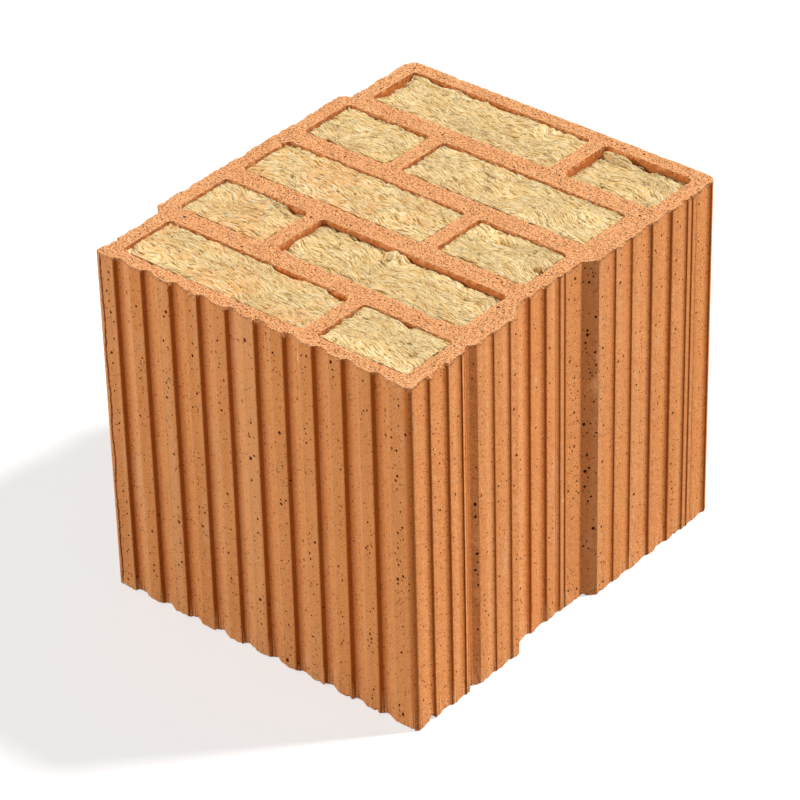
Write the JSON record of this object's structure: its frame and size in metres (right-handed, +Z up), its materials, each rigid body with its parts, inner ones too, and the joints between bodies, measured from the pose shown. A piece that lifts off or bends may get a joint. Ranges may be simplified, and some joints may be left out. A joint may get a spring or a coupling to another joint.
{
  "type": "mineral wool filled clay block",
  "caption": "Vertically perforated thermal clay block with rectangular chambers filled with mineral wool pads, a tongue and a groove on its heads and plaster grooves on one face.",
  "frame": {"origin": "middle of the bottom of the whole block, tongue included", "axes": "+X along the wall, towards the head with the groove; +Y through the wall, away from the face with the plaster grooves; +Z up, along the chambers"},
  "size_m": [0.2544, 0.3, 0.249],
  "materials": {
    "fired_clay": "fired clay, matt, ground bed faces",
    "mineral_wool": "loose fibre, straw yellow"
  },
  "bodies": {
    "root": {"clay_block": "fired_clay", "wool_row1_long": "mineral_wool", "wool_row1_short": "mineral_wool", "wool_row2_short": "mineral_wool", "wool_row2_long": "mineral_wool", "wool_row3_long": "mineral_wool", "wool_row3_short": "mineral_wool", "wool_row4_short": "mineral_wool", "wool_row4_long": "mineral_wool", "wool_row5_long": "mineral_wool", "wool_row5_short": "mineral_wool"}
  },
  "joints": []
}
